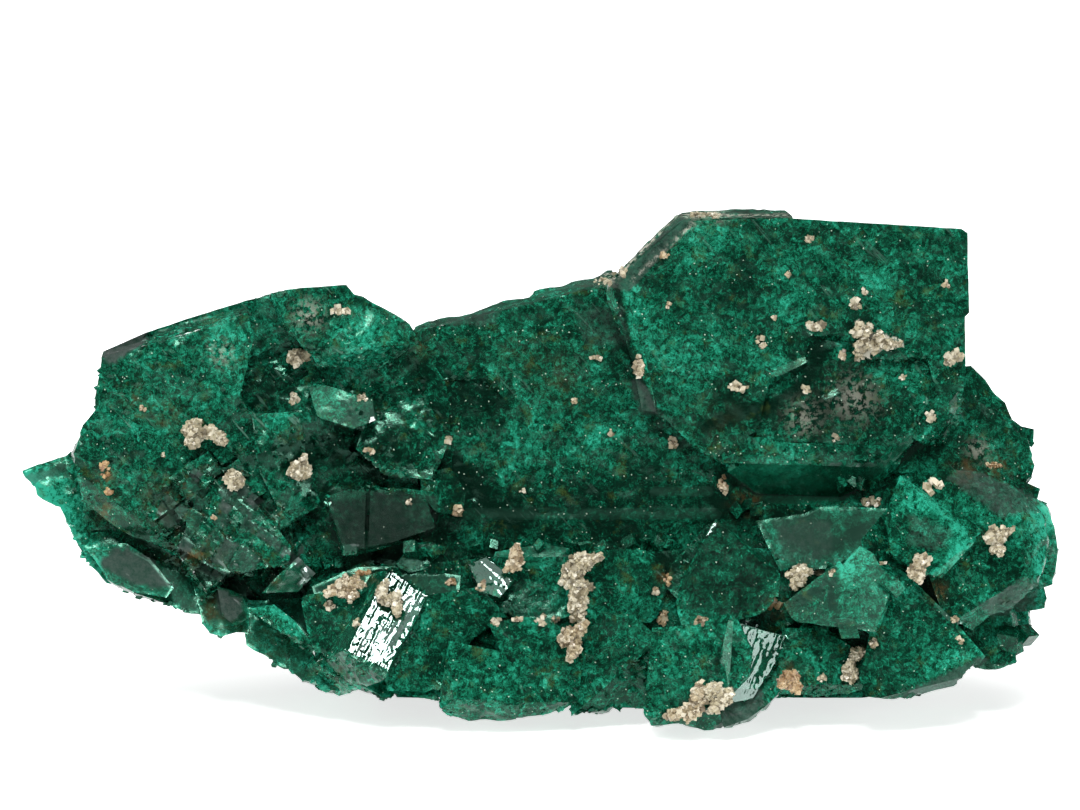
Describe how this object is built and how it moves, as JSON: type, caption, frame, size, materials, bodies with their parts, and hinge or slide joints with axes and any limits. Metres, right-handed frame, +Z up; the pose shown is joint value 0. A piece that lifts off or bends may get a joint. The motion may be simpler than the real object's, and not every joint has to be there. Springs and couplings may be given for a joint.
{
  "type": "dioptase mineral specimen",
  "caption": "Mineral specimen: blocky emerald-green dioptase crystals grown together, a broad slab above a row of small rhombs, with clumps of pale druse; rests on a flat break.",
  "frame": {"origin": "centre of the bounding box in plan, at the height of the flat break that the specimen stands on", "axes": "+X along the specimen's length, to the right as it is shown; +Y away from the show side; +Z up"},
  "size_m": [0.0594, 0.027, 0.0285],
  "materials": {
    "dioptase": "gloss",
    "druse": "satin"
  },
  "bodies": {
    "root": {"dioptase_cluster": "dioptase", "druse_column": "druse", "druse_tuft": "druse", "druse_low_large": "druse", "druse_low_small": "druse", "druse_left_pair": "druse", "druse_left_high": "druse", "druse_left_hollow": "druse", "druse_left_low": "druse", "druse_slab_patch": "druse", "druse_slab_right": "druse", "druse_crust": "druse", "druse_on_striae": "druse", "druse_grey": "druse", "druse_right_tuft": "druse", "druse_end": "druse", "druse_nodule": "druse", "druse_low_right": "druse", "druse_low_edge": "druse"}
  },
  "joints": []
}
